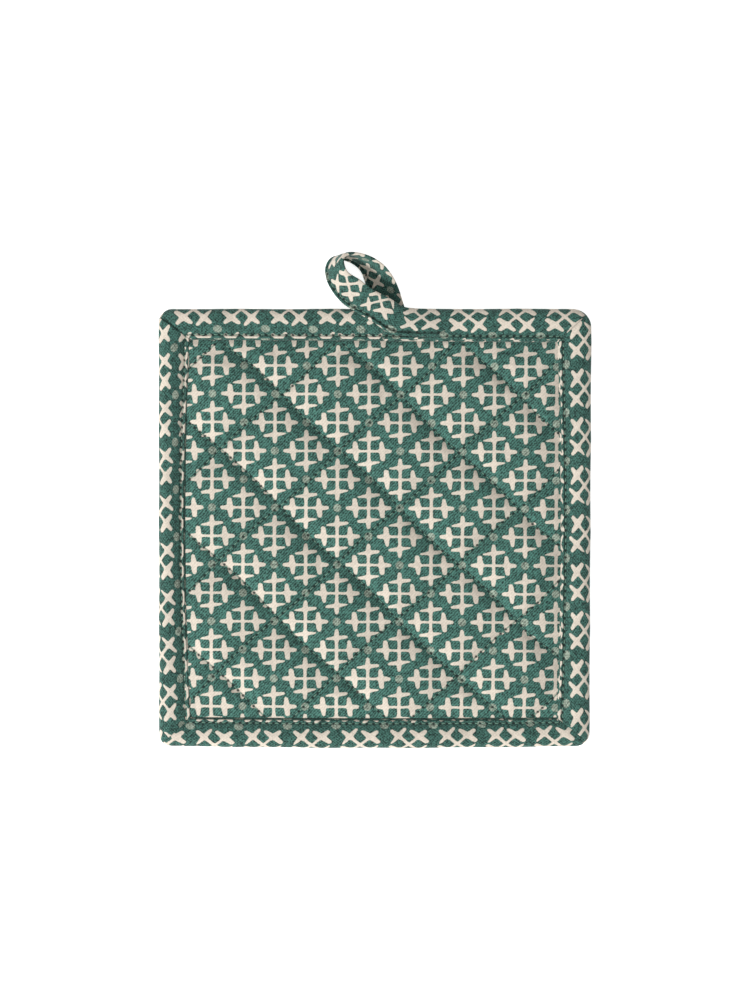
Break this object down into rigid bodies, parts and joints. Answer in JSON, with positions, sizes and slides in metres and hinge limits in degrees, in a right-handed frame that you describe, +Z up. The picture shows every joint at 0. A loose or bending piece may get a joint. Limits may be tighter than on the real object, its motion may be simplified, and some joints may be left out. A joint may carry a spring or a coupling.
{
  "type": "pot holder",
  "caption": "Square quilted cotton pot holder with a mitred bias binding and a hanging loop at one edge, lying flat.",
  "frame": {"origin": "middle of the underside of the whole outline, loop included, on the surface that it lies on", "axes": "+Z up out of the printed front, +Y towards the hanging loop, +X to the right seen from the front"},
  "size_m": [0.1998, 0.2286, 0.0138],
  "materials": {
    "quilted_cotton": "matt printed cotton, machine quilted",
    "bias_binding": "matt printed cotton, cut on the bias"
  },
  "bodies": {
    "root": {"quilted_panel": "quilted_cotton", "binding": "bias_binding", "hanging_loop": "bias_binding"}
  },
  "joints": []
}
